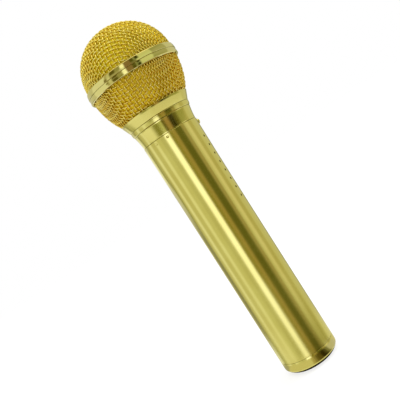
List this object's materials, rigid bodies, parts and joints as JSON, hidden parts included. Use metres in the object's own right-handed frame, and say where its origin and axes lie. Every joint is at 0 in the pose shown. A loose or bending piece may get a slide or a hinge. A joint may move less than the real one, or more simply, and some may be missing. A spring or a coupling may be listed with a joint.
{
  "type": "microphone-shaped handheld shower head",
  "caption": "Gold-plated handheld shower head shaped like a stage microphone, with a woven-wire ball head, spray holes in the side of its handle and a recessed hose inlet.",
  "frame": {"origin": "centre of the flat rim at the lower end, where the object stands", "axes": "+Z along the handle from the hose inlet to the top of the ball; the spray holes face -Y"},
  "size_m": [0.0618, 0.0618, 0.24],
  "materials": {
    "gold_plate": "ABS with polished gold-coloured plating",
    "gold_wire": "woven wire with gold-coloured plating",
    "liner_yellow": "satin yellow-gold lacquered plastic",
    "inner_plastic": "natural moulded ABS",
    "seal_rubber": "black nitrile rubber",
    "spring_steel": "bare stainless steel"
  },
  "bodies": {
    "handle": {"end_cap": "gold_plate", "handle_tube": "gold_plate", "inlet_connector": "inner_plastic", "inlet_oring": "seal_rubber", "filter_screen": "spring_steel", "restrictor_oring": "seal_rubber", "flow_restrictor": "inner_plastic", "water_tube": "inner_plastic", "tube_oring_lower": "seal_rubber", "tube_oring_upper": "seal_rubber", "manifold_spool": "inner_plastic", "chamber_oring_lower": "seal_rubber", "chamber_oring_upper": "seal_rubber", "neck_adapter": "gold_plate", "button_spring": "spring_steel"},
    "button": {"lock_button": "gold_plate"},
    "ring": {"trim_ring": "gold_plate"},
    "head": {"collar": "gold_plate", "head_base": "inner_plastic", "grille_bowl": "gold_wire", "grille_dome": "gold_wire", "liner_lower": "liner_yellow", "liner_upper": "liner_yellow", "band_lower": "gold_plate", "band_upper": "gold_plate"}
  },
  "joints": [
    {"name": "head_lift", "type": "slide", "parent": "handle", "child": "ring", "axis": [0, 0, 1], "range_m": [0, 0.004]},
    {"name": "head_turn", "type": "hinge", "parent": "ring", "child": "head", "pos_m": [0, 0, 0.1774], "axis": [0, 0, 1], "range_deg": [0, 720]},
    {"name": "button_press", "type": "slide", "parent": "handle", "child": "button", "axis": [0, 1, 0], "range_m": [0, 0.0015], "stiffness_N_per_m": 400, "springref_m": -0.003, "deforming": ["button_spring"]}
  ],
  "couplings": [
    {"joint": "head_lift", "follows": "head_turn", "m_per_rad": 0.00031831}
  ]
}
